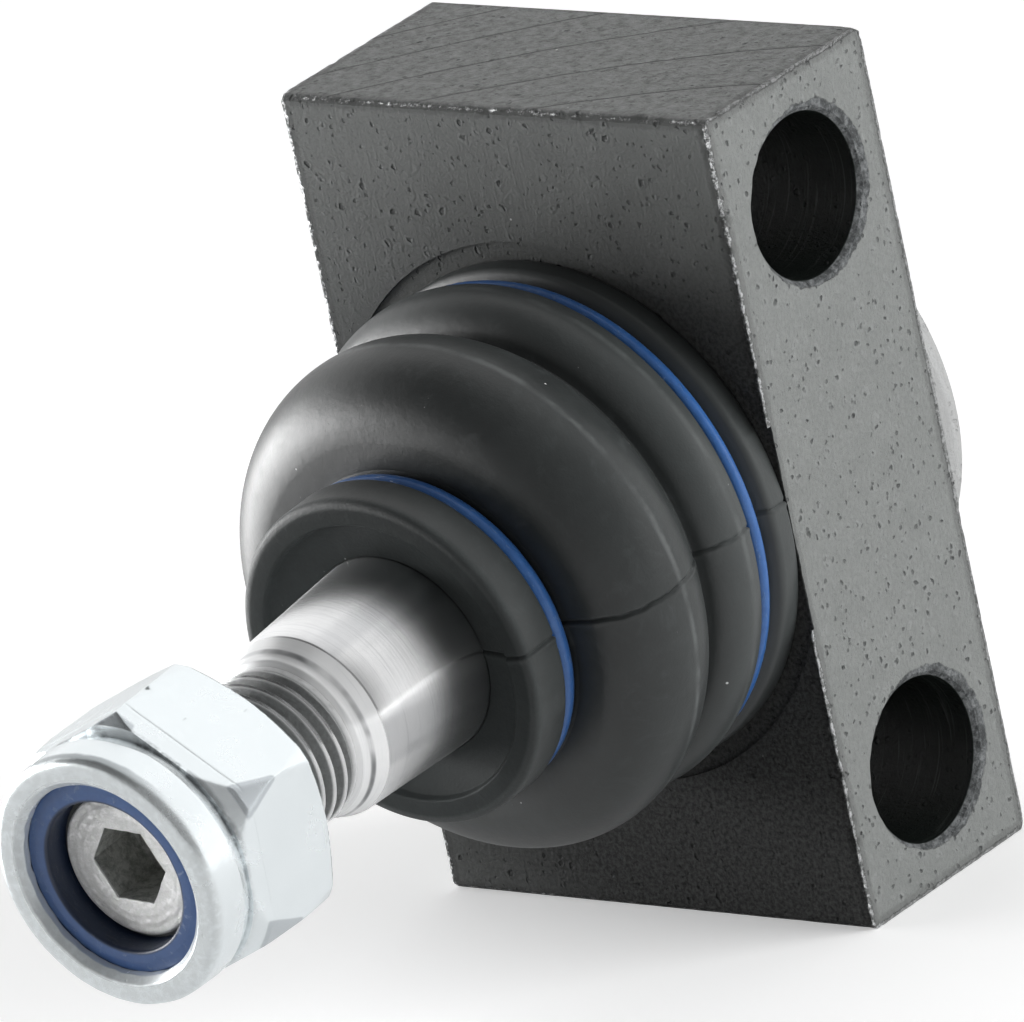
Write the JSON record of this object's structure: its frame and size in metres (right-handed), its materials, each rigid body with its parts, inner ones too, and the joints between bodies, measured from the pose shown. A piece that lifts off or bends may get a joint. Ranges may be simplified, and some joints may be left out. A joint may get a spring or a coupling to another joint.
{
  "type": "suspension ball joint",
  "caption": "Suspension ball joint: bored steel block, spring-loaded ball stud in a folded rubber boot with blue rings, and a hexagon lock nut on the stud's thread.",
  "frame": {"origin": "middle of the two fixing bolts, at half the block's width", "axes": "+X along the fixing bolts, +Y from the stud's side to the block's back, +Z along the block"},
  "size_m": [0.0443, 0.0897, 0.07],
  "materials": {
    "block_steel": "sawn and blackened, pitted",
    "bearing_plastic": "moulded",
    "plain_steel": "ground",
    "spring_steel": "hardened, oiled",
    "cover_steel": "pressed sheet",
    "stud_steel": "ground and polished",
    "boot_rubber": "semi-matte",
    "ring_blue": "royal blue",
    "nut_zinc": "bright zinc plate",
    "insert_nylon": "blue nylon"
  },
  "bodies": {
    "housing": {"housing_block": "block_steel", "front_bearing_shell": "bearing_plastic", "rear_bearing_shell": "bearing_plastic", "pressure_plate": "plain_steel", "disc_spring": "spring_steel", "closing_cover": "cover_steel", "boot_base_ring": "ring_blue"},
    "boot": {"dust_boot": "boot_rubber"},
    "boot_collar": {"boot_collar_ring": "ring_blue"},
    "stud": {"ball_stud": "stud_steel"},
    "insert": {"nut_insert": "insert_nylon"},
    "nut": {"lock_nut": "nut_zinc"}
  },
  "joints": [
    {"name": "swing_direction", "type": "hinge", "parent": "housing", "child": "boot", "pos_m": [0, -0.0044, 0], "axis": [0, -1, 0], "continuous": true},
    {"name": "swing", "type": "hinge", "parent": "boot", "child": "boot_collar", "pos_m": [0, -0.0044, 0], "axis": [1, 0, 0], "range_deg": [-21.6, 14.4], "deforming": ["dust_boot"]},
    {"name": "stud_spin", "type": "hinge", "parent": "boot_collar", "child": "stud", "pos_m": [0, -0.0044, 0], "axis": [0.0105, -0.998, -0.0628], "continuous": true},
    {"name": "nut_travel", "type": "slide", "parent": "stud", "child": "insert", "axis": [0.0105, -0.998, -0.0628], "range_m": [-0.0078, 0.0105], "deforming": ["nut_insert"]},
    {"name": "nut_turn", "type": "hinge", "parent": "insert", "child": "nut", "pos_m": [0.00063, -0.06428, -0.00377], "axis": [0.0105, -0.998, -0.0628], "range_deg": [-1900, 2530]}
  ],
  "couplings": [
    {"joint": "nut_turn", "follows": "nut_travel", "rad_per_m": 4188.8}
  ]
}
